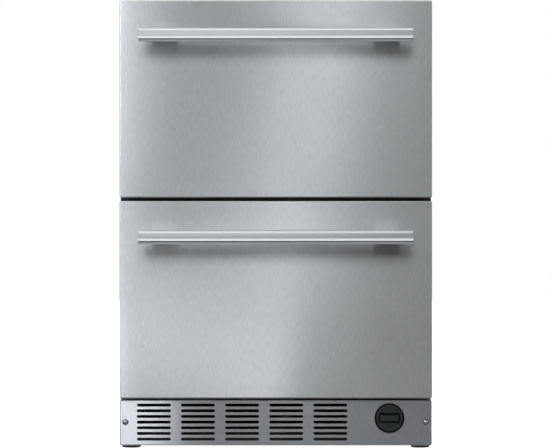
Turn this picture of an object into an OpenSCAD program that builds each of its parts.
// Undercounter drawer refrigerator: two full-width cold drawers above a toe grille.
// Millimetres. X runs to the right, the drawers open towards -Y and Z is up.
// The origin is on the floor, under the middle of the whole object.

/* [Cabinet] */
// Width of the cabinet, of both drawer fronts and of the toe grille
body_w = 606.4; // [580:0.1:700]
// Depth of the cabinet, from its front flange to its back panel
cabinet_d = 560; // [545:1:640]
// Drop from the top edge of the upper front to the cabinet top
top_reveal = 2; // [1:0.5:6]
// Thickness of the cabinet's sheet steel
sheet_t = 1; // [0.6:0.1:1.4]
// Thickness of the base pan
pan_t = 1.5; // [1:0.1:2.5]
// Height of the base pan above the floor, with the legs screwed in
pan_z = 14; // [14:0.5:18]
// Height of the base pan's turned-up edges
pan_lip_h = 12; // [8:1:16]
// Clear height of the machine tunnel under the cold space
tunnel_h = 75.5; // [73:0.5:80]
// Clear height of the machine compartment at the back
machine_h = 213.5; // [205:0.5:225]
// Depth of the machine compartment, inside the back panel
machine_d = 190; // [186:1:200]

/* [Insulation and liner] */
// Foam in each side wall
foam_side = 38; // [25:1:45]
// Foam in the roof
foam_roof = 40; // [30:1:45]
// Foam under the front of the cold space
foam_floor = 34; // [28:1:36]
// Foam in the back wall
foam_back = 45; // [35:1:50]
// Foam around the machine compartment
foam_step = 36; // [28:1:40]
// Thickness of the plastic liner
liner_t = 2; // [1.5:0.1:3]
// Height of the bar between the two drawer openings
mullion_h = 40; // [36:0.5:42]
// Depth of the bar between the two drawer openings
mullion_d = 52; // [30:1:80]
// Thickness of the sheet that the bar is folded from
mullion_t = 1.5; // [1:0.1:2.5]

/* [Drawer fronts] */
// Height of each drawer front
front_h = 382.3; // [376:0.1:390]
// Gap between the two drawer fronts
front_gap = 7.1; // [4:0.1:9]
// Thickness of a drawer front, from its face to its inner panel
front_t = 46; // [40:1:60]
// Thickness of the stainless skin
skin_t = 1; // [0.7:0.1:1.4]
// Radius of the skin's upright front edges
skin_edge_r = 3; // [2:0.1:5]
// Thickness of the plastic inner panel
panel_t = 4; // [3:0.5:8]
// Space between the inner panel and the cabinet flange
seal_gap = 5; // [4:0.1:8]
// Width of the magnetic gasket
gasket_w = 14; // [10:0.5:14.5]
// How far the gasket sits outside the cabinet opening
gasket_lap = 6; // [2:0.5:10]
// How far the gasket sits inside the edge of the bar between the openings
mullion_lap = 1; // [0.5:0.1:1.5]

/* [Handles] */
// Length of a handle with its end caps
handle_l = 530; // [460:1:560]
// Height of a handle
handle_h = 27; // [22:0.5:34]
// Drop from a front's top edge to its handle
handle_drop = 56.6; // [30:0.1:120]
// How far a handle stands out from the front
handle_out = 65; // [50:0.5:75]
// Radius of the round rod along the bottom of a handle
rod_r = 6.75; // [5:0.05:8]
// How far the flat upper part stays behind the front of the rod
plate_setback = 4.5; // [2:0.1:6]
// Radius of the top front edge of a handle
plate_edge_r = 2.5; // [1:0.1:4]
// Thickness of a handle's end caps
cap_t = 2; // [1:0.5:5]
// How far the end of the rod stands out past the end cap's plate
cap_dome = 1; // [0.5:0.1:2]
// Distance between the middles of a handle's two posts
post_spacing = 432; // [380:1:450]
// Width of a post
post_w = 50; // [30:1:60]
// Height of a post
post_h = 15; // [10:0.5:18]
// Height of a post's underside above the handle's lowest line
post_lift = 6; // [3:0.5:9]
// Radius of a post's long edges
post_edge_r = 2; // [1:0.5:4]
// Diameter of the stud that holds a post
stud_d = 6; // [4:0.5:8]
// Length of that stud behind the face
stud_l = 30; // [12:1:38]

/* [Drawer bins] */
// Room between the rim of the upper bin and the roof of the cold space
upper_bin_room = 44.35; // [10:0.05:110]
// Clearance behind the upper bin's rim, in front of the evaporator cover
upper_bin_gap = 17; // [8:1:60]
// Room between the rim of the lower bin and the bar between the openings
lower_bin_room = 24.95; // [8:0.05:110]
// Clearance behind the lower bin's rim, in front of the step in the liner
lower_bin_gap = 7; // [4:1:60]
// Thickness of a bin's walls
bin_t = 2; // [1.5:0.1:4]
// Radius of a bin's upright corners
bin_corner_r = 20; // [8:1:40]
// Width of the rim around a bin
rim_w = 6; // [3:0.5:8]
// Thickness of the rim
rim_t = 2; // [1.5:0.1:4]
// Space under a bin
bin_lift = 6.5; // [4:0.5:12]

/* [Drawer rails] */
// Height of a fixed rail
rail_h = 45; // [36:0.5:53]
// Width taken up by one set of rails, from the liner to the bin
rail_w = 12.7; // [12:0.1:16]
// Thickness of the rail steel
rail_t = 1.2; // [1:0.1:1.4]
// Play between two sliding rails
rail_play = 0.4; // [0.3:0.05:0.6]
// How far the upper rails stop short of the back of their bin
upper_rail_short = 1; // [0:1:40]
// How far the lower rails stop short of the back of their bin
lower_rail_short = 3; // [0:1:40]
// Height of the upper rails above the bottom of their bin
upper_rail_lift = 48; // [30:1:120]
// Height of the lower rails above the bottom of their bin
lower_rail_lift = 56; // [30:1:120]
// Distance from the cabinet flange to the rails
rail_setback = 4; // [1:0.5:8]
// Number of screws in each fixed rail
rail_screws_n = 3; // [2:1:5]
// Distance from the end of a rail to its end screws
rail_screw_inset = 30; // [15:1:60]
// Diameter of the rail screws' shanks
rail_screw_d = 4; // [3:0.5:5]
// Diameter of the rail screws' flat heads
rail_screw_head_d = 7.2; // [6:0.1:9]

/* [Toe grille] */
// Clearance under the grille
grille_z = 7.4; // [5:0.1:12]
// Height of the grille
grille_h = 88.2; // [84:0.1:90]
// Gap between the grille and the lower front
grille_gap = 4; // [2:0.1:8]
// How far the grille is set back from the drawer faces
grille_setback = 12.5; // [5:0.5:16]
// Thickness of the grille sheet
grille_t = 1.2; // [0.8:0.1:2]
// Length of an air slot
slot_l = 65.6; // [40:0.1:75]
// Height of an air slot
slot_h = 4.9; // [3:0.1:7]
// Columns of slots
slot_cols = 5; // [1:1:5]
// Rows of slots
slot_rows = 7; // [1:1:7]
// Distance between columns of slots
slot_pitch_x = 85.7; // [78:0.1:86]
// Distance between rows of slots
slot_pitch_z = 11.02; // [8:0.01:11.5]
// Distance from the left edge of the grille to the first slot
slot_inset = 33.6; // [28:0.1:40]
// Distance from the top of the grille to the middle of the top row
slot_drop = 9.5; // [6:0.1:12]
// Distance from the side of the grille to its screws
grille_screw_inset = 11.3; // [9:0.1:14]
// Height of the grille's screws above its lower edge
grille_screw_lift = 45.1; // [20:0.1:70]
// Diameter of the grille screws' heads
grille_screw_head_d = 8.2; // [6:0.1:9]
// Diameter of the grille screws' shanks
grille_screw_d = 3.2; // [2.5:0.1:4]
// Width of the tabs that hold the grille
grille_tab_w = 19; // [17:0.5:24]
// Height of the tabs that hold the grille
grille_tab_h = 35; // [20:1:50]

/* [Temperature knob] */
// Diameter of the round hole in the grille
knob_hole_d = 58; // [54:0.5:62]
// Diameter of the knob
knob_d = 51.2; // [46:0.1:53]
// Distance from the right edge of the grille to the middle of the knob
knob_inset = 82.4; // [60:0.1:110]
// Height of the middle of the knob above the grille's lower edge
knob_lift = 52.9; // [44:0.1:56]
// How far the knob stands out from the grille
knob_proud = 6; // [3:0.5:10]
// Length of the knob behind the face of the grille
knob_sunk = 7; // [5:0.5:9]
// Length of the grip bar
grip_l = 38; // [30:0.5:42]
// Height of the grip bar
grip_w = 12.6; // [8:0.1:16]
// Depth of the finger pockets beside the grip bar
pocket_d = 5; // [3:0.5:8]
// Diameter of the thermostat's shaft
shaft_d = 6; // [4:0.5:8]
// Width and height of the thermostat's body
thermostat_w = 40; // [30:1:48]
// Depth of the thermostat's body
thermostat_d = 22; // [16:1:24]

/* [Legs] */
// Diameter of a foot
foot_d = 37.5; // [30:0.5:38]
// Height of a foot
foot_h = 9; // [6:0.5:9]
// Radius of a foot's lower edge
foot_edge_r = 3; // [1:0.5:5]
// Distance from the side of the cabinet to the middle of a leg
leg_inset = 20.2; // [19:0.1:30]
// Distance from the cabinet flange to the middle of a front leg
leg_front = 20; // [19:0.5:40]
// Distance from the back of the cabinet to the middle of a rear leg
leg_back = 40; // [34:1:60]
// Diameter of a leg's stud
leg_stud_d = 10; // [8:0.5:12]
// Height of the top of the stud above the floor
leg_stud_top = 55; // [45:1:65]
// Width across the flats of a leg's hexagon
leg_hex_w = 17; // [13:0.5:19]
// Height of a leg's hexagon
leg_hex_h = 4.5; // [3:0.5:5]
// Width across the flats of the nuts in the base pan
leg_nut_w = 19; // [15:0.5:22]
// Height of the nuts in the base pan
leg_nut_h = 12; // [8:0.5:16]

/* [Condenser] */
// Distance from the middle plane to the left end of the fins
condenser_left = 235; // [220:1:245]
// Number of fins
condenser_fins_n = 28; // [10:1:30]
// Distance between fins
condenser_pitch = 11; // [8:0.5:11]
// Depth of a fin
condenser_fin_d = 240; // [235:1:250]
// Height of a fin
condenser_fin_h = 62; // [50:1:68]
// Thickness of a fin
condenser_fin_t = 0.6; // [0.4:0.1:1]
// Space under the fins
condenser_fin_lift = 6; // [3:0.5:7]
// Distance from the cabinet flange to the fins
condenser_setback = 72; // [50:1:76]
// Tube passes in each of the two rows
condenser_passes = 6; // [2:2:6]
// Distance between two passes
condenser_pass_pitch = 40; // [30:1:41]
// Distance between the two rows
condenser_row_pitch = 34; // [24:1:40]
// Diameter of the condenser tube
tube_d = 8; // [6:0.5:9]

/* [Fans] */
// Diameter of the condenser fan
big_fan_d = 120; // [100:1:122]
// Distance from the middle plane to the condenser fan
big_fan_x = 110; // [100:1:120]
// Height of the condenser fan's middle above the base pan
big_fan_lift = 75.5; // [75:0.5:78]
// Diameter of the evaporator fan
small_fan_d = 100; // [80:1:110]
// Drop from the cold space's roof to the middle of the evaporator fan
small_fan_drop = 86; // [70:1:100]
// Clearance around a fan
fan_gap = 2; // [1:0.5:3]
// Number of blades on a fan
fan_blades = 5; // [3:1:7]
// Thickness of a fan blade
blade_t = 1.6; // [1:0.1:3]
// Twist of a blade from the plane of the fan
blade_angle = 30; // [15:1:35]
// Width of the condenser fan's box
shroud_w = 156; // [150:1:160]
// Depth of the condenser fan's box
shroud_d = 21; // [18:1:26]
// Thickness of the fan box
shroud_t = 1.5; // [1:0.1:3]

/* [Compressor] */
// Diameter of the compressor
compressor_d = 144; // [120:1:146]
// Height of the compressor
compressor_h = 161; // [140:1:165]
// Height of the compressor's domed top
dome_h = 35; // [20:1:45]
// Thickness of the compressor's shell
shell_t = 3; // [2:0.5:5]
// Distance from the middle plane to the compressor
compressor_x = 150; // [145:1:155]
// Distance from the compressor to the back of the cabinet
compressor_back = 100; // [95:1:104]
// Width of the compressor's foot plate
foot_plate_w = 170; // [160:1:190]
// Depth of the compressor's foot plate
foot_plate_d = 132; // [120:1:140]
// Thickness of the foot plate
foot_plate_t = 3; // [2:0.5:5]
// Height of the rubber mounts
rubber_h = 20; // [14:1:22]
// Diameter of the rubber mounts
rubber_d = 24; // [18:1:26]
// Distance from the edges of the foot plate to the middle of a rubber mount
rubber_inset = 13; // [13:0.5:18]
// Diameter of the motor and pump inside the shell
pump_d = 100; // [70:1:110]
// Height of the motor and pump
pump_h = 85; // [60:1:100]
// Width of the relay box
relay_w = 26; // [20:1:32]

/* [Evaporator] */
// Width of the evaporator between its end plates
evaporator_w = 360; // [300:1:372]
// Number of fins with the end plates
evaporator_fins_n = 31; // [11:1:41]
// Thickness of a fin
evaporator_fin_t = 0.5; // [0.3:0.1:0.8]
// Depth of a fin
evaporator_fin_d = 28; // [20:1:32]
// Height of a fin
evaporator_fin_h = 144; // [140:1:150]
// Tube passes
evaporator_passes = 6; // [2:2:6]
// Distance between two passes
evaporator_pass_pitch = 24; // [20:1:26]
// Height of the lowest pass above the step in the liner
evaporator_lift = 262; // [255:1:300]
// Distance from the liner's back wall to the middle of the tubes
evaporator_back = 26; // [20:0.5:28]
// Distance from the liner's back wall to the evaporator cover
cover_back = 52; // [50:1:54]
// Thickness of the evaporator cover
cover_t = 2; // [1:0.1:3]
// Height of the cover's air slots above the step in the liner
cover_slot_lift = 20; // [10:1:60]
// Width of an air slot in the cover
cover_slot_w = 8; // [4:0.5:10]
// Height of an air slot in the cover
cover_slot_h = 60; // [30:1:90]
// Distance between the air slots in the cover
cover_slot_pitch = 22; // [16:1:30]
// Number of air slots in the cover
cover_slots_n = 19; // [3:2:21]

/* [Pipes, drain and inlet] */
// Diameter of the thin pipe to the evaporator
thin_pipe_d = 3; // [2:0.5:4]
// Diameter of the filter drier
drier_d = 18; // [14:1:24]
// Length of the filter drier
drier_l = 90; // [60:1:100]
// Outer diameter of the drain tube
drain_d = 16; // [12:0.5:20]
// Wall of the drain tube
drain_t = 2; // [1:0.5:3]
// Distance from the middle plane to the drain tube
drain_x = 190; // [170:1:200]
// Height of the drain pan
drain_pan_h = 24; // [18:1:28]
// Width of the drain pan
drain_pan_w = 200; // [150:1:205]
// Depth of the drain pan
drain_pan_d = 85; // [70:1:88]
// Bore of the cord gland
gland_bore_d = 8.4; // [6:0.1:10]
// Distance from the middle plane to the cord gland
gland_x = 260; // [240:1:270]
// Height of the cord gland above the base pan
gland_lift = 45; // [30:1:150]
// How far the machine cover is set in from the back
cover_inset = 12; // [10:0.5:14]
// Distance between the holes for the anti-tip bracket
anti_tip_spacing = 400; // [200:1:480]
// Diameter of the holes for the anti-tip bracket
anti_tip_hole_d = 4.4; // [3:0.1:6]
// Distance from the cabinet flange to those holes
anti_tip_setback = 30; // [15:1:60]
// Depth of those holes
anti_tip_depth = 15; // [8:1:25]

/* [Lamp] */
// Length of the lamp in the roof of the cold space
lamp_l = 120; // [60:1:300]
// Depth of the lamp
lamp_d = 20; // [12:1:30]
// Height of the lamp with its lens
lamp_h = 8; // [5:0.5:10]

/* [Clearances] */
// Clearance of a shaft in its bore
run_fit = 0.05; // [0.02:0.01:0.1]
// Clearance of a screw or pipe in its hole
hole_fit = 0.2; // [0.1:0.05:0.4]
// Clearance of the soft gasket from the flange
soft_fit = 0.3; // [0.2:0.05:0.5]

/* [Hidden] */
$fn = 64;
// How far a cutting shape reaches past what it cuts
cut = 5;
half_w = body_w / 2;
half_in = half_w - sheet_t;
total_d = handle_out + front_t + seal_gap + cabinet_d;
y_back = total_d / 2;
y_flange = y_back - cabinet_d;
y_panel = y_flange - seal_gap;
y_face = y_panel - front_t;
y_skin_end = y_panel - panel_t;
y_grille = y_face + grille_setback;
y_inner_back = y_back - sheet_t;
y_foam_front = y_flange + sheet_t;

grille_top = grille_z + grille_h;
lower_z = grille_top + grille_gap;
upper_z = lower_z + front_h + front_gap;
cabinet_top = upper_z + front_h - top_reveal;
foam_top = cabinet_top - sheet_t;
mullion_mid = upper_z - front_gap / 2;
mullion_low = mullion_mid - mullion_h / 2;
mullion_high = mullion_mid + mullion_h / 2;

pan_top = pan_z + pan_t;
deck_low = pan_top + tunnel_h;
foam_low = deck_low + sheet_t;
deck_high = pan_top + machine_h;
foam_step_z = deck_high + sheet_t;
deck_back_y = y_inner_back - machine_d;
foam_step_y = deck_back_y - sheet_t;

cold_half = half_in - foam_side - liner_t;
cold_floor = foam_low + foam_floor + liner_t;
cold_roof = foam_top - foam_roof - liner_t;
cold_back = y_inner_back - foam_back - liner_t;
step_floor = foam_step_z + foam_step + liner_t;
step_y = foam_step_y - foam_step - liner_t;

bin_half = cold_half - rail_w;
upper_bin_z = mullion_high + bin_lift;
lower_bin_z = cold_floor + bin_lift;
upper_bin_h = cold_roof - upper_bin_room - upper_bin_z;
lower_bin_h = mullion_low - lower_bin_room - lower_bin_z;
upper_rail_z = upper_bin_z + upper_rail_lift;
lower_rail_z = lower_bin_z + lower_rail_lift;
rail_y = y_flange + rail_setback;
upper_bin_back = cold_back - cover_back - cover_t - upper_bin_gap - rim_w;
lower_bin_back = step_y - lower_bin_gap - rim_w;
upper_rail_l = upper_bin_back - upper_rail_short - rail_y;
lower_rail_l = lower_bin_back - lower_rail_short - rail_y;
mid_u = rail_t + rail_play;
mid_half = rail_h / 2 - rail_t - rail_play;
slide_half = mid_half - rail_t - rail_play;
fixed_lip = 3.2;
mid_lip = 2.2;
screw_bite = 12;

knob_x = half_w - knob_inset;
knob_z = grille_z + knob_lift;
knob_r = knob_d / 2;
knob_front = y_grille - knob_proud;
knob_rear = y_grille + knob_sunk;
knob_gap = 1;
bezel_floor_y = knob_rear + knob_gap;
bezel_t = 2;
knob_chamfer = 1.2;
pocket_r = knob_r - 5;
mark_l = 6;
mark_w = 2;
mark_d = 0.4;
bezel_lip = 4;
bezel_r = knob_hole_d / 2 - hole_fit;
bush_r = 8;

screw_x = half_w - grille_screw_inset;
screw_z = grille_z + grille_screw_lift;
screw_head_h = 2;
screw_l = 12;
screw_tip_y = y_grille + screw_l;
screw_taper = 1;
screw_cross_w = 1;
dimple_gap = 1;

leg_x = half_w - leg_inset;
leg_front_y = y_flange + leg_front;
leg_back_y = y_back - leg_back;
hex_ratio = 2 / sqrt(3);
stud_hole_gap = 0.5;

condenser_y = y_flange + condenser_setback;
condenser_right = -condenser_left + (condenser_fins_n - 1) * condenser_pitch;
tube_r = tube_d / 2;
tube_end = 5;
condenser_low_z = pan_top + condenser_fin_lift
    + (condenser_fin_h - condenser_row_pitch) / 2;
condenser_high_z = condenser_low_z + condenser_row_pitch;
condenser_pass_y = condenser_y
    + (condenser_fin_d - (condenser_passes - 1) * condenser_pass_pitch) / 2;
condenser_last_y = condenser_pass_y + (condenser_passes - 1) * condenser_pass_pitch;
condenser_port_x = condenser_right + tube_end;
end_plate_t = 1.2;

big_fan_r = big_fan_d / 2;
big_fan_z = pan_top + big_fan_lift;
shroud_y = deck_back_y + shroud_d;
big_fan_sunk = 5;
big_fan_y = shroud_y - big_fan_sunk;
big_blade_w = 42;
big_hub_r = 20;
big_hub_l = 22;
big_motor_gap = 4;
big_motor_y = big_fan_y + big_hub_l / 2 + big_motor_gap;
big_motor_r = 32;
big_motor_l = 35;
big_shaft_r = 3;
blade_root = 2;
motor_arm_w = 8;
motor_arm_t = 3;
motor_arm_inset = 4;

small_fan_r = small_fan_d / 2;
small_fan_z = cold_roof - small_fan_drop;
cover_y = cold_back - cover_back;
small_fan_behind = 11;
small_fan_y = cover_y + small_fan_behind;
small_blade_w = 30;
small_hub_r = 15;
small_hub_l = 15;
small_motor_y = small_fan_y + small_hub_l / 2 + big_motor_gap;
small_motor_r = 20;
small_shaft_r = 2.5;
small_motor_plate = 60;
shaft_bite = 12;
guard_rings = 4;
guard_bar = 2;

compressor_r = compressor_d / 2;
compressor_y = y_back - compressor_back;
plate_z = pan_top + rubber_h;
shell_z = plate_z + foot_plate_t;
shell_top = shell_z + compressor_h;
dome_r = (pow(compressor_r, 2) + pow(dome_h, 2)) / (2 * dome_h);
seam_out = 3;
seam_r = compressor_r + seam_out;
seam_h = 5;
rubber_bore_r = 4;
pump_leg_h = 12;
pump_leg_r = 6;
relay_lift = 45;
relay_h = 60;
relay_half = 22;

coil_y = cold_back - evaporator_back;
coil_half = evaporator_w / 2;
coil_z = step_floor + evaporator_lift;
coil_top = coil_z + (evaporator_passes - 1) * evaporator_pass_pitch;
coil_port_x = coil_half + tube_end;
coil_fin_z = (coil_z + coil_top) / 2 - evaporator_fin_h / 2;

pipe_bend = 12;
thin_bend = 6;
pipe_side = 17;
thin_r = thin_pipe_d / 2;
suction_side = 30;
discharge_side = 20;
suction_x = compressor_x - suction_side;
thin_x = suction_x - pipe_side;
discharge_x = compressor_x - discharge_side;
suction_out = 36;
suction_out_x = coil_port_x + suction_out;
thin_out = 5;
thin_out_x = coil_port_x + evaporator_pass_pitch / 2 + tube_r + thin_out;
drier_x = 20;
drier_back = 37;
drier_y = y_inner_back - drier_back;
drier_lift = 75;
drier_z = pan_top + drier_lift;
drier_cone = 8;
liquid_back = 28;
liquid_y = condenser_y + condenser_fin_d + liquid_back;
liquid_x = condenser_port_x + pipe_side;
thin_turn_z = deck_high - pipe_side;
thin_drop = 18;
suction_drop = 30;
coil_run_z = coil_z - thin_drop;
suction_run_z = coil_z - suction_drop;
port_depth = shell_t;

drain_r = drain_d / 2;
drain_flange = 6;
drain_flange_t = 2;
drain_pan_side = 42;
drain_pan_back = 17;
drain_drop = 5;
drain_pan_x = -big_fan_x - shroud_w / 2 - drain_pan_side;
drain_pan_y = y_inner_back - drain_pan_d - drain_pan_back;
drain_low = pan_top + drain_pan_h + drain_drop;

cover_front_y = y_back - cover_inset - grille_t;
gland_z = pan_top + gland_lift;
gland_wall = 4.8;
gland_r = gland_bore_d / 2 + gland_wall;
gland_flange = 4;
gland_flange_t = 3;
gland_end = 10;
vent_rows = 8;
vent_cols = 5;
vent_l = 60;
vent_h = 5;
vent_pitch_x = 90;
vent_pitch_z = 14;
vent_lift = 70;
vent_z = pan_top + vent_lift;

gasket_base_t = 2;
gasket_step = 2;
lens_h = 3;

// ---------------------------------------------------------------- shapes

// A box between two opposite corners
module block(low, high) {
    translate(low) cube(high - low);
}

// A round rod along X, Y or Z
module rod_x(x0, x1, y, z, r) {
    translate([x0, y, z]) rotate([0, 90, 0]) cylinder(h = x1 - x0, r = r);
}

module rod_y(x, y0, y1, z, r) {
    translate([x, y0, z]) rotate([-90, 0, 0]) cylinder(h = y1 - y0, r = r);
}

module rod_z(x, y, z0, z1, r) {
    translate([x, y, z0]) cylinder(h = z1 - z0, r = r);
}

// A profile drawn in Y and Z, carried along X
module along_x(x0, x1) {
    translate([x0, 0, 0]) rotate([90, 0, 90]) linear_extrude(x1 - x0) children();
}

// A profile drawn in X and Z, carried along Y
module along_y(y0, y1) {
    translate([0, y1, 0]) rotate([90, 0, 0]) linear_extrude(y1 - y0) children();
}

// A profile drawn in X and Y, carried along Z
module along_z(z0, z1) {
    translate([0, 0, z0]) linear_extrude(z1 - z0) children();
}

// A flat rectangle with round corners, between two opposite corners
module rounded(low, high, r) {
    translate([low.x + r, low.y]) square([high.x - low.x - 2 * r, high.y - low.y]);
    translate([low.x, low.y + r]) square([high.x - low.x, high.y - low.y - 2 * r]);
    for (x = [low.x + r, high.x - r], y = [low.y + r, high.y - r])
        translate([x, y]) circle(r);
}

// The plan of a folded front: square at the back, with two round front edges
module front_plan(y0, y1, inset, r) {
    side = half_w - inset;
    front = y0 + inset;
    translate([-side, front + r]) square([2 * side, y1 - front - r]);
    translate([-side + r, front]) square([2 * (side - r), y1 - front]);
    for (x = [-side + r, side - r]) translate([x, front + r]) circle(r);
}

// A folded sheet pan that is open at the back
module front_pan(y0, y1, z0, z1, t) {
    difference() {
        along_z(z0, z1) front_plan(y0, y1, 0, skin_edge_r);
        along_z(z0 + t, z1 - t) front_plan(y0, y1 + cut, t, skin_edge_r - t);
    }
}

// A slot with round ends, cut through the Y direction
module slot_y(x, z, l, h, y0, y1) {
    block([x - (l - h) / 2, y0, z - h / 2], [x + (l - h) / 2, y1, z + h / 2]);
    for (side = [-1, 1]) rod_y(x + side * (l - h) / 2, y0, y1, z, h / 2);
}

// A quarter bend of a pipe at a corner, from direction a to direction b
module elbow(corner, a, b, r, bend) {
    centre = corner - bend * a + bend * b;
    side = cross(-b, a);
    multmatrix([
        [-b.x, a.x, side.x, centre.x],
        [-b.y, a.y, side.y, centre.y],
        [-b.z, a.z, side.z, centre.z],
        [0, 0, 0, 1]
    ])
    rotate_extrude(angle = 90) translate([bend, 0]) circle(r);
}

// A pipe along points whose runs are square to each other, with round bends
module pipe(points, r, bend) {
    last = len(points) - 1;
    heading = [for (i = [0:last - 1])
        (points[i + 1] - points[i]) / norm(points[i + 1] - points[i])];
    for (i = [0:last - 1]) {
        start = points[i] + (i == 0 ? 0 : bend) * heading[i];
        end = points[i + 1] - (i == last - 1 ? 0 : bend) * heading[i];
        d = heading[i];
        translate(start)
            rotate([0, acos(d.z), atan2(d.y, d.x)])
                cylinder(h = norm(end - start), r = r);
    }
    for (i = [1:last - 1])
        elbow(points[i], heading[i - 1], heading[i], r, bend);
}

// The half-round end bend of a coil, which bulges to the side given by dir
module return_bend(x, middle, gap, r, upright, dir) {
    translate([x, middle.x, middle.y])
        rotate(upright ? [90, 0, 0] : [0, 0, 0])
            rotate([0, 0, dir > 0 ? -90 : 90])
                rotate_extrude(angle = 180) translate([gap / 2, 0]) circle(r);
}

// A fan wheel that turns about Y, with its shaft reaching back
module fan_wheel(x, y, z, r, hub_r, hub_l, blade_w, shaft_r, shaft_end) {
    translate([x, y, z]) rotate([-90, 0, 0]) {
        translate([0, 0, -hub_l / 2]) cylinder(h = hub_l, r = hub_r);
        intersection() {
            cylinder(h = 2 * blade_w, r = r, center = true);
            for (i = [0:fan_blades - 1])
                rotate([0, 0, i * 360 / fan_blades])
                    translate([hub_r - blade_root, 0, 0])
                        rotate([blade_angle, 0, 0])
                            translate([0, -blade_w / 2, -blade_t / 2])
                                cube([r, blade_w, blade_t]);
        }
    }
    rod_y(x, y, shaft_end, z, shaft_r);
}

// A C-shaped rail on the right-hand wall: its back stands at distance u0 from the
// wall, and its edges are turned between u_low and u_high
module rail_shape(u0, u_low, u_high, half_h, y0, y1, z) {
    wall = cold_half;
    block([wall - u0 - rail_t, y0, z - half_h], [wall - u0, y1, z + half_h]);
    for (side = [-1, 1])
        translate([0, 0, z + side * (half_h - rail_t / 2)])
            block([wall - u_high, y0, -rail_t / 2], [wall - u_low, y1, rail_t / 2]);
}

// A solid and its mirror image on the other side of the cabinet
module both_sides() {
    children();
    mirror([1, 0, 0]) children();
}

// ---------------------------------------------------------------- cabinet

// Wrapper of side walls and top, folded from one sheet
module outer_wrap() {
    color("silver")
    difference() {
        block([-half_w, y_flange, pan_z], [half_w, y_back, cabinet_top]);
        block([-half_in, y_flange - cut, pan_z - cut], [half_in, y_back + cut, foam_top]);
        anti_tip_holes();
    }
}

// Screw holes for a bracket that stops the cabinet from tipping
module anti_tip_holes() {
    for (x = [-anti_tip_spacing / 2, anti_tip_spacing / 2])
        rod_z(x, y_flange + anti_tip_setback, cabinet_top - anti_tip_depth,
            cabinet_top + cut, anti_tip_hole_d / 2);
}

// Sheet that closes the back above the machine compartment
module back_panel() {
    color("gainsboro")
    block([-half_in, y_inner_back, foam_step_z], [half_in, y_back, foam_top]);
}

// Floor of the machine space, with turned-up edges and the tabs that hold the grille
module base_pan() {
    color("darkgray")
    difference() {
        union() {
            difference() {
                block([-half_in, y_flange, pan_z],
                    [half_in, y_back, pan_top + pan_lip_h]);
                block([-half_in + pan_t, y_flange + pan_t, pan_top],
                    [half_in - pan_t, y_back - pan_t, pan_top + pan_lip_h + cut]);
            }
            both_sides() grille_tab();
        }
        for (x = [-leg_x, leg_x], y = [leg_front_y, leg_back_y])
            rod_z(x, y, pan_z - cut, pan_top + cut, leg_stud_d / 2 + stud_hole_gap);
        both_sides() grille_screw_hole(grille_screw_d / 2 + run_fit);
    }
}

// Right-hand tab: a web beside the cabinet wall and a flange behind the grille,
// with a round bend that clears the inside of the grille's corner
module grille_tab() {
    side = half_w - grille_t;
    front = y_grille + grille_t;
    bend = skin_edge_r - grille_t + hole_fit;
    low = screw_z - grille_tab_h / 2;
    high = screw_z + grille_tab_h / 2;
    difference() {
        union() {
            block([side - pan_t, front, pan_top], [side, leg_front_y, high]);
            block([side - grille_tab_w, front, low], [side, front + pan_t, high]);
        }
        along_z(pan_top - cut, high + cut) difference() {
            translate([side - bend, front - cut]) square(bend + cut);
            translate([side - bend, front + bend]) circle(bend);
        }
    }
}

module grille_screw_hole(r) {
    rod_y(screw_x, y_grille - cut, screw_tip_y, screw_z, r);
}

// Sheet between the foam and the machine space: tunnel roof, wall and upper roof
module machine_deck() {
    color("lightgray")
    difference() {
        union() {
            block([-half_in, y_foam_front, deck_low],
                [half_in, deck_back_y, foam_low]);
            block([-half_in, foam_step_y, deck_low],
                [half_in, deck_back_y, foam_step_z]);
            block([-half_in, foam_step_y, deck_high],
                [half_in, y_inner_back, foam_step_z]);
        }
        wall_passages();
    }
}

// Holes for the pipes and the drain between the machine space and the cold space
module wall_passages() {
    low = deck_high - cut;
    high = step_floor + cut;
    rod_z(suction_x, coil_y, low, high, tube_r + hole_fit);
    rod_z(thin_x, coil_y, low, high, thin_r + hole_fit);
    rod_z(-drain_x, coil_y, low, high, drain_r + hole_fit);
}

// Outline of the cold space seen from the side, grown by a wall thickness
module cold_outline(grow, front) {
    polygon([
        [front, cold_floor - grow],
        [step_y + grow, cold_floor - grow],
        [step_y + grow, step_floor - grow],
        [cold_back + grow, step_floor - grow],
        [cold_back + grow, cold_roof + grow],
        [front, cold_roof + grow]
    ]);
}

// Rigid foam between the sheet steel and the liner
module insulation_foam() {
    color("khaki")
    difference() {
        along_x(-half_in, half_in) polygon([
            [y_foam_front, foam_low],
            [foam_step_y, foam_low],
            [foam_step_y, foam_step_z],
            [y_inner_back, foam_step_z],
            [y_inner_back, foam_top],
            [y_foam_front, foam_top]
        ]);
        along_x(-cold_half - liner_t, cold_half + liner_t)
            cold_outline(liner_t, y_foam_front - cut);
        wall_passages();
        anti_tip_holes();
        rail_screw_holes(hole_fit);
    }
}

// Moulded plastic lining of the cold space
module inner_liner() {
    color("whitesmoke")
    difference() {
        along_x(-cold_half - liner_t, cold_half + liner_t)
            cold_outline(liner_t, y_foam_front);
        along_x(-cold_half, cold_half) cold_outline(0, y_foam_front - cut);
        wall_passages();
        rail_screw_holes(0);
    }
}

// Steel flange around the openings, which the magnetic gaskets grip
module front_frame() {
    color("silver")
    difference() {
        block([-half_in, y_flange, deck_low], [half_in, y_foam_front, foam_top]);
        block([-cold_half, y_flange - cut, cold_floor],
            [cold_half, y_foam_front + cut, cold_roof]);
    }
}

// Folded bar between the two drawer openings
module mullion() {
    color("silver")
    difference() {
        block([-cold_half, y_flange, mullion_low],
            [cold_half, y_flange + mullion_d, mullion_high]);
        block([-cold_half - cut, y_flange + mullion_t, mullion_low + mullion_t],
            [cold_half + cut, y_flange + mullion_d + cut, mullion_high - mullion_t]);
    }
}

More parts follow.
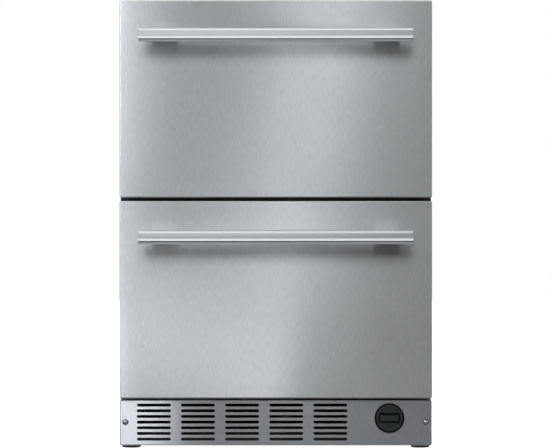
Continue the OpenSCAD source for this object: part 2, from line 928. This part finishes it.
// ---------------------------------------------------------------- toe grille

// Folded stainless grille with rounded air slots and a hole for the knob
module toe_grille() {
    color("lightsteelblue")
    difference() {
        front_pan(y_grille, y_flange, grille_z, grille_top, grille_t);
        for (col = [0:slot_cols - 1], row = [0:slot_rows - 1])
            slot_y(-half_w + slot_inset + slot_l / 2 + col * slot_pitch_x,
                grille_top - slot_drop - row * slot_pitch_z,
                slot_l, slot_h, y_grille - cut, y_grille + cut);
        rod_y(knob_x, y_grille - cut, y_grille + cut, knob_z, knob_hole_d / 2);
        both_sides() grille_screw_hole(grille_screw_d / 2 + hole_fit);
        both_sides() rod_y(screw_x, y_grille - cut, y_grille + grille_t / 2, screw_z,
            grille_screw_head_d / 2 + dimple_gap);
    }
}

// Two cross-headed screws that hold the grille to its tabs
module grille_screws() {
    seat = y_grille + grille_t / 2;
    head_r = grille_screw_head_d / 2;
    color("lightgray")
    both_sides() difference() {
        union() {
            rod_y(screw_x, seat - screw_head_h / 2, seat, screw_z, head_r);
            translate([screw_x, seat - screw_head_h / 2, screw_z]) rotate([90, 0, 0])
                cylinder(h = screw_head_h / 2, r1 = head_r, r2 = head_r - screw_taper);
            rod_y(screw_x, seat, screw_tip_y, screw_z, grille_screw_d / 2);
        }
        for (size = [[head_r, screw_cross_w], [screw_cross_w, head_r]])
            block([screw_x - size.x / 2, seat - screw_head_h - cut, screw_z - size.y / 2],
                [screw_x + size.x / 2, seat - screw_head_h / 2, screw_z + size.y / 2]);
    }
}

// Black cup that lines the hole in the grille behind the knob
module knob_bezel() {
    color("black")
    difference() {
        union() {
            rod_y(knob_x, y_grille - bezel_t / 4, bezel_floor_y + bezel_t, knob_z,
                bezel_r);
            rod_y(knob_x, y_grille + grille_t, y_grille + grille_t + bezel_t, knob_z,
                bezel_r + bezel_lip);
        }
        rod_y(knob_x, y_grille - cut, bezel_floor_y, knob_z, knob_r + soft_fit);
        rod_y(knob_x, y_grille, bezel_floor_y + cut, knob_z, bush_r);
    }
}

// Thermostat body, whose bush fills the hole in the cup
module thermostat() {
    back = bezel_floor_y + bezel_t;
    half = thermostat_w / 2;
    color("gray")
    difference() {
        union() {
            block([knob_x - half, back, knob_z - half],
                [knob_x + half, back + thermostat_d, knob_z + half]);
            rod_y(knob_x, bezel_floor_y, back, knob_z, bush_r - run_fit);
        }
        rod_y(knob_x, bezel_floor_y - cut, back + shaft_bite, knob_z,
            shaft_d / 2 + run_fit);
    }
}

// Knob with a grip bar between two finger pockets, and its shaft
module thermostat_knob() {
    color("dimgray")
    difference() {
        union() {
            rod_y(knob_x, knob_front + knob_chamfer, knob_rear, knob_z, knob_r);
            translate([knob_x, knob_front + knob_chamfer, knob_z]) rotate([90, 0, 0])
                cylinder(h = knob_chamfer, r1 = knob_r, r2 = knob_r - knob_chamfer);
            rod_y(knob_x, knob_rear, bezel_floor_y + bezel_t + shaft_bite - 1,
                knob_z, shaft_d / 2);
        }
        difference() {
            rod_y(knob_x, knob_front - cut, knob_front + pocket_d, knob_z, pocket_r);
            block([knob_x - grip_l / 2 - cut, knob_front - 2 * cut, knob_z - grip_w / 2],
                [knob_x + grip_l / 2 + cut, knob_front + cut + pocket_d,
                    knob_z + grip_w / 2]);
        }
        block([knob_x - knob_r + mark_w, knob_front - cut, knob_z - mark_w / 2],
            [knob_x - knob_r + mark_w + mark_l, knob_front + mark_d,
                knob_z + mark_w / 2]);
    }
}

// ---------------------------------------------------------------- condenser

function pass_y(i) = condenser_pass_y + i * condenser_pass_pitch;

// Thin aluminium plates on the condenser tube, with two feet plates at the ends
module condenser_fins() {
    color("silver")
    for (i = [0:condenser_fins_n - 1]) {
        end_plate = i == 0 || i == condenser_fins_n - 1;
        t = end_plate ? end_plate_t : condenser_fin_t;
        low = end_plate ? pan_top : pan_top + condenser_fin_lift;
        x = -condenser_left + i * condenser_pitch;
        difference() {
            block([x - t / 2, condenser_y, low],
                [x + t / 2, condenser_y + condenser_fin_d,
                    pan_top + condenser_fin_lift + condenser_fin_h]);
            for (pass = [0:condenser_passes - 1], z = [condenser_low_z, condenser_high_z])
                rod_x(x - cut, x + cut, pass_y(pass), z, tube_r + run_fit);
        }
    }
}

// One tube that runs to and fro through the fins in two rows
module condenser_tube() {
    left = -condenser_left - tube_end;
    color("chocolate")
    union() {
        for (pass = [0:condenser_passes - 1], z = [condenser_low_z, condenser_high_z])
            rod_x(left, condenser_port_x, pass_y(pass), z, tube_r);
        for (pass = [0:condenser_passes - 2], z = [condenser_low_z, condenser_high_z])
            return_bend(pass % 2 == 0 ? left : condenser_port_x,
                [pass_y(pass) + condenser_pass_pitch / 2, z],
                condenser_pass_pitch, tube_r, false, pass % 2 == 0 ? -1 : 1);
        return_bend(condenser_port_x,
            [pass_y(0), condenser_low_z + condenser_row_pitch / 2],
            condenser_row_pitch, tube_r, true, 1);
    }
}

// Box that makes the fan draw its air through the tunnel
module fan_shroud() {
    x0 = -big_fan_x - shroud_w / 2;
    x1 = -big_fan_x + shroud_w / 2;
    high = big_fan_z + shroud_w / 2;
    color("darkslategray")
    difference() {
        block([x0, deck_back_y, pan_top], [x1, shroud_y, high]);
        block([x0 + shroud_t, deck_back_y - cut, pan_top + shroud_t],
            [x1 - shroud_t, shroud_y - shroud_t, high - shroud_t]);
        rod_y(-big_fan_x, shroud_y - cut, shroud_y + cut, big_fan_z,
            big_fan_r + fan_gap);
    }
}

// Fan motor on four arms that stand on the fan box
module condenser_fan_motor() {
    foot_r = shroud_w / 2 - motor_arm_inset;
    arm_y = big_motor_y + motor_arm_t;
    color("darkgray")
    difference() {
        union() {
            rod_y(-big_fan_x, big_motor_y, big_motor_y + big_motor_l, big_fan_z,
                big_motor_r);
            for (turn = [0:90:270])
                translate([-big_fan_x, 0, big_fan_z]) rotate([0, turn, 0]) {
                    block([0, arm_y, -motor_arm_w / 2],
                        [foot_r, arm_y + motor_arm_t, motor_arm_w / 2]);
                    block([foot_r - motor_arm_w, shroud_y, -motor_arm_w / 2],
                        [foot_r, arm_y + motor_arm_t, motor_arm_w / 2]);
                }
        }
        rod_y(-big_fan_x, big_motor_y - cut, big_motor_y + shaft_bite, big_fan_z,
            big_shaft_r + run_fit);
    }
}

module condenser_fan_blade() {
    color("black")
    fan_wheel(-big_fan_x, big_fan_y, big_fan_z, big_fan_r, big_hub_r, big_hub_l,
        big_blade_w, big_shaft_r, big_motor_y + shaft_bite - 1);
}

// ---------------------------------------------------------------- compressor

// Outside of the compressor: a drum under a shallow dome
module drum(r, top, dome, low) {
    intersection() {
        rod_z(compressor_x, compressor_y, low, top + cut, r);
        translate([compressor_x, compressor_y, top - dome]) sphere(dome);
    }
    rod_z(compressor_x, compressor_y, low, top - dome_h, r);
}

// Sealed steel shell with its seam, its welded foot plate and holes for two pipes
module compressor_shell() {
    color("black")
    difference() {
        union() {
            drum(compressor_r, shell_top, dome_r, shell_z);
            rod_z(compressor_x, compressor_y, shell_top - dome_h - seam_h,
                shell_top - dome_h, seam_r);
            block([compressor_x - foot_plate_w / 2, compressor_y - foot_plate_d / 2,
                    plate_z],
                [compressor_x + foot_plate_w / 2, compressor_y + foot_plate_d / 2,
                    shell_z]);
        }
        difference() {
            drum(compressor_r - shell_t, shell_top - shell_t, dome_r - shell_t,
                shell_z + shell_t);
            rod_z(compressor_x, compressor_y, 0, shell_z + shell_t, compressor_r);
        }
        rod_z(suction_x, coil_y, shell_z + 2 * shell_t, shell_top, tube_r);
        rod_y(discharge_x, compressor_y - compressor_r - cut,
            compressor_y - compressor_r / 2, condenser_high_z, tube_r);
        compressor_corners()
            translate([0, 0, plate_z - cut])
                cylinder(h = 2 * cut + foot_plate_t, r = rubber_bore_r + 1);
    }
}

module compressor_corners() {
    for (x = [-1, 1], y = [-1, 1])
        translate([compressor_x + x * (foot_plate_w / 2 - rubber_inset),
            compressor_y + y * (foot_plate_d / 2 - rubber_inset), 0])
            children();
}

// Motor and pump inside the shell, on three short legs
module compressor_pump() {
    floor_z = shell_z + shell_t;
    color("gray")
    translate([compressor_x, compressor_y, floor_z]) {
        translate([0, 0, pump_leg_h]) cylinder(h = pump_h, r = pump_d / 2);
        for (turn = [0:120:240])
            rotate([0, 0, turn]) translate([pump_d / 3, 0, 0])
                cylinder(h = pump_leg_h, r = pump_leg_r);
    }
}

// Four rubber mounts between the foot plate and the base pan
module compressor_rubbers() {
    color("dimgray")
    compressor_corners() difference() {
        union() {
            translate([0, 0, pan_top]) cylinder(h = rubber_h, r = rubber_d / 2);
            translate([0, 0, plate_z])
                cylinder(h = foot_plate_t, r = rubber_bore_r + 1);
        }
        translate([0, 0, pan_top - cut])
            cylinder(h = rubber_h + foot_plate_t + 2 * cut, r = rubber_bore_r);
    }
}

// Start relay in its box on the side of the compressor
module compressor_relay_box() {
    side = compressor_x - compressor_r;
    low = shell_z + relay_lift;
    high = low + relay_h;
    color("gray")
    difference() {
        block([side - relay_w, compressor_y - relay_half, low],
            [side + relay_half / 2, compressor_y + relay_half, high]);
        rod_z(compressor_x, compressor_y, low - cut, high + cut, compressor_r);
    }
}

// Copper pipes between compressor, condenser and evaporator, with the filter drier
module refrigerant_lines() {
    dome_mid = shell_top - dome_r;
    port = norm([suction_x - compressor_x, coil_y - compressor_y]);
    suction_z = dome_mid + sqrt(pow(dome_r, 2) - pow(port, 2)) - port_depth;
    shell_y = compressor_y
        - sqrt(pow(compressor_r, 2) - pow(discharge_x - compressor_x, 2)) + port_depth;
    drier_end = drier_z + drier_l;
    color("chocolate") {
        pipe([
            [condenser_port_x, condenser_last_y, condenser_high_z],
            [discharge_x, condenser_last_y, condenser_high_z],
            [discharge_x, shell_y, condenser_high_z]
        ], tube_r, pipe_bend);
        pipe([
            [suction_x, coil_y, suction_z],
            [suction_x, coil_y, suction_run_z],
            [suction_out_x, coil_y, suction_run_z],
            [suction_out_x, coil_y, coil_top],
            [coil_port_x, coil_y, coil_top]
        ], tube_r, pipe_bend);
        union() {
            pipe([
                [condenser_port_x, condenser_last_y, condenser_low_z],
                [liquid_x, condenser_last_y, condenser_low_z],
                [liquid_x, liquid_y, condenser_low_z],
                [drier_x, liquid_y, condenser_low_z],
                [drier_x, drier_y, condenser_low_z],
                [drier_x, drier_y, drier_z]
            ], tube_r, thin_bend);
            translate([drier_x, drier_y, drier_z]) rotate_extrude() polygon([
                [0, 0],
                [tube_r, 0],
                [drier_d / 2, drier_cone],
                [drier_d / 2, drier_l - drier_cone],
                [thin_r, drier_l],
                [0, drier_l]
            ]);
            pipe([
                [drier_x, drier_y, drier_end],
                [drier_x, drier_y, thin_turn_z],
                [thin_x, drier_y, thin_turn_z],
                [thin_x, coil_y, thin_turn_z],
                [thin_x, coil_y, coil_run_z],
                [thin_out_x, coil_y, coil_run_z],
                [thin_out_x, coil_y, coil_z],
                [coil_port_x, coil_y, coil_z]
            ], thin_r, thin_bend);
        }
    }
}

// ---------------------------------------------------------------- evaporator

// Aluminium fins with two end plates that reach the back wall
module evaporator_fins() {
    pitch = evaporator_w / (evaporator_fins_n - 1);
    color("silver")
    for (i = [0:evaporator_fins_n - 1]) {
        end_plate = i == 0 || i == evaporator_fins_n - 1;
        t = end_plate ? end_plate_t : evaporator_fin_t;
        back = end_plate ? cold_back : coil_y + evaporator_fin_d / 2;
        x = -coil_half + i * pitch;
        difference() {
            block([x - t / 2, coil_y - evaporator_fin_d / 2, coil_fin_z],
                [x + t / 2, back, coil_fin_z + evaporator_fin_h]);
            for (pass = [0:evaporator_passes - 1])
                rod_x(x - cut, x + cut, coil_y, coil_z + pass * evaporator_pass_pitch,
                    tube_r + run_fit);
        }
    }
}

// One tube that climbs to and fro through the fins
module evaporator_tube() {
    color("silver")
    union() {
        for (pass = [0:evaporator_passes - 1])
            rod_x(-coil_port_x, coil_port_x, coil_y,
                coil_z + pass * evaporator_pass_pitch, tube_r);
        for (pass = [0:evaporator_passes - 2])
            return_bend(pass % 2 == 0 ? -coil_port_x : coil_port_x,
                [coil_y, coil_z + (pass + 0.5) * evaporator_pass_pitch],
                evaporator_pass_pitch, tube_r, true, pass % 2 == 0 ? -1 : 1);
    }
}

// Panel in front of the evaporator, with air slots and the fan's guard
module evaporator_cover() {
    guard_r = small_fan_r + fan_gap;
    ring_step = guard_r / guard_rings;
    slot_low = step_floor + cover_slot_lift;
    color("white")
    difference() {
        block([-cold_half, cover_y - cover_t, step_floor],
            [cold_half, cover_y, cold_roof]);
        for (i = [0:cover_slots_n - 1])
            translate([(i - (cover_slots_n - 1) / 2) * cover_slot_pitch, 0, 0])
                block([-cover_slot_w / 2, cover_y - cut, slot_low],
                    [cover_slot_w / 2, cover_y + cut, slot_low + cover_slot_h]);
        difference() {
            for (ring = [0:guard_rings - 1])
                difference() {
                    rod_y(0, cover_y - cut, cover_y + cut, small_fan_z,
                        (ring + 1) * ring_step);
                    rod_y(0, cover_y - 2 * cut, cover_y + 2 * cut, small_fan_z,
                        ring * ring_step + guard_bar);
                }
            for (turn = [0:60:120])
                translate([0, 0, small_fan_z]) rotate([0, turn, 0])
                    block([-2 * guard_r, cover_y - 2 * cut, -guard_bar / 2],
                        [2 * guard_r, cover_y + 2 * cut, guard_bar / 2]);
        }
    }
}

// Fan motor with a foot plate on the liner's back wall
module evaporator_fan_motor() {
    half = small_motor_plate / 2;
    color("white")
    difference() {
        union() {
            rod_y(0, small_motor_y, cold_back, small_fan_z, small_motor_r);
            block([-half, cold_back - cover_t, small_fan_z - half],
                [half, cold_back, small_fan_z + half]);
        }
        rod_y(0, small_motor_y - cut, small_motor_y + shaft_bite, small_fan_z,
            small_shaft_r + run_fit);
    }
}

module evaporator_fan_blade() {
    color("white")
    fan_wheel(0, small_fan_y, small_fan_z, small_fan_r, small_hub_r, small_hub_l,
        small_blade_w, small_shaft_r, small_motor_y + shaft_bite - 1);
}

// Tube that takes defrost water down to the pan
module drain_tube() {
    color("white")
    difference() {
        union() {
            rod_z(-drain_x, coil_y, drain_low, step_floor, drain_r);
            rod_z(-drain_x, coil_y, step_floor, step_floor + drain_flange_t,
                drain_r + drain_flange);
        }
        rod_z(-drain_x, coil_y, drain_low - cut, step_floor + cut, drain_r - drain_t);
    }
}

// Pan on the base in which the defrost water dries up
module drain_pan() {
    x1 = drain_pan_x + drain_pan_w;
    y1 = drain_pan_y + drain_pan_d;
    color("black")
    difference() {
        along_z(pan_top, pan_top + drain_pan_h)
            rounded([drain_pan_x, drain_pan_y], [x1, y1], rim_w);
        along_z(pan_top + bin_t, pan_top + drain_pan_h + cut)
            rounded([drain_pan_x + bin_t, drain_pan_y + bin_t],
                [x1 - bin_t, y1 - bin_t], rim_w - bin_t);
    }
}

// Lamp bar with its lens, in the roof of the cold space
module cavity_lamp() {
    y = y_flange + anti_tip_setback;
    half = lamp_l / 2;
    color("white") {
        block([-half, y, cold_roof - lamp_h + lens_h], [half, y + lamp_d, cold_roof]);
        block([-half + lens_h, y + lens_h, cold_roof - lamp_h],
            [half - lens_h, y + lamp_d - lens_h, cold_roof - lamp_h + lens_h]);
    }
}

// ---------------------------------------------------------------- back

// Vented cover of the machine compartment
module machine_cover() {
    color("gainsboro")
    difference() {
        block([-half_in + pan_t, cover_front_y, pan_top],
            [half_in - pan_t, cover_front_y + grille_t, deck_high]);
        for (col = [0:vent_cols - 1], row = [0:vent_rows - 1])
            slot_y((col - (vent_cols - 1) / 2) * vent_pitch_x,
                vent_z + row * vent_pitch_z,
                vent_l, vent_h, cover_front_y - cut, cover_front_y + cut);
        rod_y(-gland_x, cover_front_y - cut, cover_front_y + cut, gland_z,
            gland_r + run_fit);
    }
}

// Gland for the mains cord, clamped through the cover
module cord_gland() {
    outside = cover_front_y + grille_t;
    color("black")
    difference() {
        union() {
            rod_y(-gland_x, cover_front_y - gland_end, outside + gland_end, gland_z,
                gland_r);
            rod_y(-gland_x, outside, outside + gland_flange_t, gland_z,
                gland_r + gland_flange);
            rod_y(-gland_x, cover_front_y - gland_flange_t, cover_front_y, gland_z,
                gland_r + gland_flange);
        }
        rod_y(-gland_x, cover_front_y - 2 * gland_end, outside + 2 * gland_end, gland_z,
            gland_bore_d / 2);
    }
}

// ---------------------------------------------------------------- rails

// Fixed outer rails on the liner's walls
module cabinet_rails() {
    color("lightgray")
    difference() {
        both_sides() {
            rail_shape(0, 0, rail_w - fixed_lip, rail_h / 2, rail_y, rail_y + upper_rail_l,
                upper_rail_z);
            rail_shape(0, 0, rail_w - fixed_lip, rail_h / 2, rail_y, rail_y + lower_rail_l,
                lower_rail_z);
        }
        both_sides() rail_screw_places() screw_shape(run_fit);
    }
}

// Middle rails, which travel half as far as the drawer
module middle_rails(l, z) {
    color("silver")
    both_sides()
        rail_shape(mid_u, mid_u, rail_w - mid_lip, mid_half, rail_y, rail_y + l, z);
}

// Rails screwed to the sides of a bin
module drawer_rails(l, z) {
    color("lightgray")
    both_sides()
        rail_shape(rail_w - rail_t, mid_u + rail_t + rail_play, rail_w, slide_half,
            rail_y, rail_y + l, z);
}

// A flat-head screw through the fixed rail, the liner and into the foam
module screw_shape(grow) {
    translate([-rail_t, 0, 0]) rotate([0, 90, 0]) {
        cylinder(h = rail_t, r1 = rail_screw_head_d / 2 + grow,
            r2 = rail_screw_d / 2 + grow);
        cylinder(h = rail_t + screw_bite, r = rail_screw_d / 2 + grow);
    }
}

module rail_screw_places() {
    for (rail = [[upper_rail_l, upper_rail_z], [lower_rail_l, lower_rail_z]],
        i = [0:rail_screws_n - 1])
        translate([cold_half,
            rail_y + rail_screw_inset
                + i * (rail[0] - 2 * rail_screw_inset) / (rail_screws_n - 1),
            rail[1]])
            children();
}

module rail_screw_holes(grow) {
    both_sides() rail_screw_places() rotate([0, 90, 0])
        translate([0, 0, -cut])
            cylinder(h = screw_bite + cut + grow, r = rail_screw_d / 2 + grow);
}

module rail_screws() {
    color("gold")
    both_sides() rail_screw_places() screw_shape(0);
}

// ---------------------------------------------------------------- drawers

// Stainless pan of a drawer front, with holes for the handle's studs
module front_skin(z) {
    color("lightsteelblue")
    difference() {
        front_pan(y_face, y_skin_end, z, z + front_h, skin_t);
        stud_holes(z);
    }
}

module stud_holes(z) {
    handle_frame(z) both_sides()
        rod_y(post_spacing / 2, -cut, stud_l + run_fit, post_lift + post_h / 2,
            stud_d / 2 + run_fit);
}

// Foam that fills a drawer front
module front_foam(z) {
    color("khaki")
    difference() {
        along_z(z + skin_t, z + front_h - skin_t)
            front_plan(y_face, y_skin_end, skin_t, skin_edge_r - skin_t);
        stud_holes(z);
    }
}

// Plastic inner panel of a drawer front
module front_panel(z) {
    color("whitesmoke")
    block([-half_w + skin_t, y_skin_end, z + skin_t],
        [half_w - skin_t, y_panel, z + front_h - skin_t]);
}

// Ring between two outlines, for a gasket around an opening from z0 to z1
module gasket_ring(z0, z1, inset, y0, y1) {
    side = cold_half + gasket_lap;
    difference() {
        block([-side - gasket_w + inset, y0, z0 + inset],
            [side + gasket_w - inset, y1, z1 - inset]);
        block([-side - inset, y0 - cut, z0 + gasket_w - inset],
            [side + inset, y1 + cut, z1 - gasket_w + inset]);
    }
}

// Magnetic gasket: a wide foot on the panel and a narrower hollow bead
module gasket(z0, z1) {
    color("gray") {
        gasket_ring(z0, z1, 0, y_panel, y_panel + gasket_base_t);
        gasket_ring(z0, z1, gasket_step, y_panel + gasket_base_t,
            y_flange - soft_fit);
    }
}

// Open bin with a rim, fixed to the inner panel
module bin(z, h, back) {
    top = z + h;
    color("white")
    difference() {
        union() {
            along_z(z, top) bin_plan(0, back);
            block([-bin_half - rim_w, y_panel, top - rim_t],
                [bin_half + rim_w, back + rim_w, top]);
        }
        along_z(z + bin_t, top + cut) bin_plan(bin_t, back);
    }
}

module bin_plan(inset, back) {
    rounded([-bin_half + inset, y_panel + inset], [bin_half - inset, back - inset],
        bin_corner_r - inset);
}

// ---------------------------------------------------------------- handles

// Places what it holds so that y = 0 is the drawer's face and z = 0 the bottom of
// the handle
module handle_frame(z) {
    translate([0, y_face, z + front_h - handle_drop - handle_h]) children();
}

// Section of a handle: a round rod below and a flat plate above it
module handle_section() {
    front = -handle_out + plate_setback;
    back = -handle_out + 2 * rod_r;
    translate([-handle_out + rod_r, rod_r]) circle(rod_r);
    translate([front, rod_r]) square([back - front, handle_h - rod_r - plate_edge_r]);
    translate([front + plate_edge_r, rod_r])
        square([back - front - plate_edge_r, handle_h - rod_r]);
    translate([front + plate_edge_r, handle_h - plate_edge_r]) circle(plate_edge_r);
}

module handle_bar(z) {
    half = handle_l / 2 - cap_t;
    color("lightgray")
    handle_frame(z) along_x(-half, half) handle_section();
}

// End caps, with the end of the rod standing out a little further
module handle_caps(z) {
    half = handle_l / 2 - cap_t;
    color("gray")
    handle_frame(z) both_sides() {
        along_x(half, half + cap_t - cap_dome) handle_section();
        rod_x(half + cap_t - cap_dome, half + cap_t, -handle_out + rod_r, rod_r,
            rod_r - cap_dome);
    }
}

// Two posts from the face to the back of the bar, each with its stud
module handle_posts(z) {
    color("gray")
    handle_frame(z) both_sides() {
        along_y(-handle_out + 2 * rod_r, 0)
            rounded([(post_spacing - post_w) / 2, post_lift],
                [(post_spacing + post_w) / 2, post_lift + post_h], post_edge_r);
        rod_y(post_spacing / 2, -cut, stud_l, post_lift + post_h / 2, stud_d / 2);
    }
}

// ---------------------------------------------------------------- legs

// Foot with a rounded lower edge, a hexagon to turn it by, and a stud
module leg(x, y) {
    foot_r = foot_d / 2;
    flat_r = foot_r - foot_edge_r;
    color("black")
    translate([x, y, 0]) {
        translate([0, 0, foot_edge_r]) cylinder(h = foot_h - foot_edge_r, r = foot_r);
        cylinder(h = foot_edge_r, r = flat_r);
        rotate_extrude() intersection() {
            translate([flat_r, foot_edge_r]) circle(foot_edge_r);
            translate([flat_r, 0]) square([foot_edge_r, foot_edge_r]);
        }
        translate([0, 0, foot_h])
            cylinder(h = leg_hex_h, r = leg_hex_w / 2 * hex_ratio, $fn = 6);
        translate([0, 0, foot_h]) cylinder(h = leg_stud_top - foot_h, r = leg_stud_d / 2);
    }
}

// Nuts welded to the base pan, in which the legs turn
module leg_nuts() {
    color("silver")
    for (x = [-leg_x, leg_x], y = [leg_front_y, leg_back_y])
        translate([x, y, pan_top]) difference() {
            cylinder(h = leg_nut_h, r = leg_nut_w / 2 * hex_ratio, $fn = 6);
            translate([0, 0, -cut])
                cylinder(h = leg_nut_h + 2 * cut, r = leg_stud_d / 2 + run_fit);
        }
}

// ---------------------------------------------------------------- the nodes

outer_wrap();
back_panel();
base_pan();
machine_deck();
insulation_foam();
inner_liner();
front_frame();
mullion();
toe_grille();
grille_screws();
knob_bezel();
thermostat();
condenser_fins();
condenser_tube();
fan_shroud();
condenser_fan_motor();
compressor_shell();
compressor_pump();
compressor_rubbers();
compressor_relay_box();
refrigerant_lines();
evaporator_fins();
evaporator_tube();
evaporator_cover();
evaporator_fan_motor();
drain_tube();
drain_pan();
cavity_lamp();
cord_gland();
machine_cover();
cabinet_rails();
rail_screws();
leg_nuts();
condenser_fan_blade();
evaporator_fan_blade();
thermostat_knob();
middle_rails(upper_rail_l, upper_rail_z);  // upper_middle_rails
middle_rails(lower_rail_l, lower_rail_z);  // lower_middle_rails
front_skin(upper_z);  // upper_front_skin
front_foam(upper_z);  // upper_front_foam
front_panel(upper_z);  // upper_front_panel
gasket(mullion_high - mullion_lap - gasket_w, cold_roof + gasket_lap + gasket_w);  // upper_gasket
bin(upper_bin_z, upper_bin_h, upper_bin_back);  // upper_bin
handle_bar(upper_z);  // upper_handle_bar
handle_posts(upper_z);  // upper_handle_posts
handle_caps(upper_z);  // upper_handle_caps
drawer_rails(upper_rail_l, upper_rail_z);  // upper_drawer_rails
front_skin(lower_z);  // lower_front_skin
front_foam(lower_z);  // lower_front_foam
front_panel(lower_z);  // lower_front_panel
gasket(cold_floor - gasket_lap - gasket_w, mullion_low + mullion_lap + gasket_w);  // lower_gasket
bin(lower_bin_z, lower_bin_h, lower_bin_back);  // lower_bin
handle_bar(lower_z);  // lower_handle_bar
handle_posts(lower_z);  // lower_handle_posts
handle_caps(lower_z);  // lower_handle_caps
drawer_rails(lower_rail_l, lower_rail_z);  // lower_drawer_rails
leg(-leg_x, leg_front_y);  // front_left_leg
leg(leg_x, leg_front_y);  // front_right_leg
leg(-leg_x, leg_back_y);  // rear_left_leg
leg(leg_x, leg_back_y);  // rear_right_leg
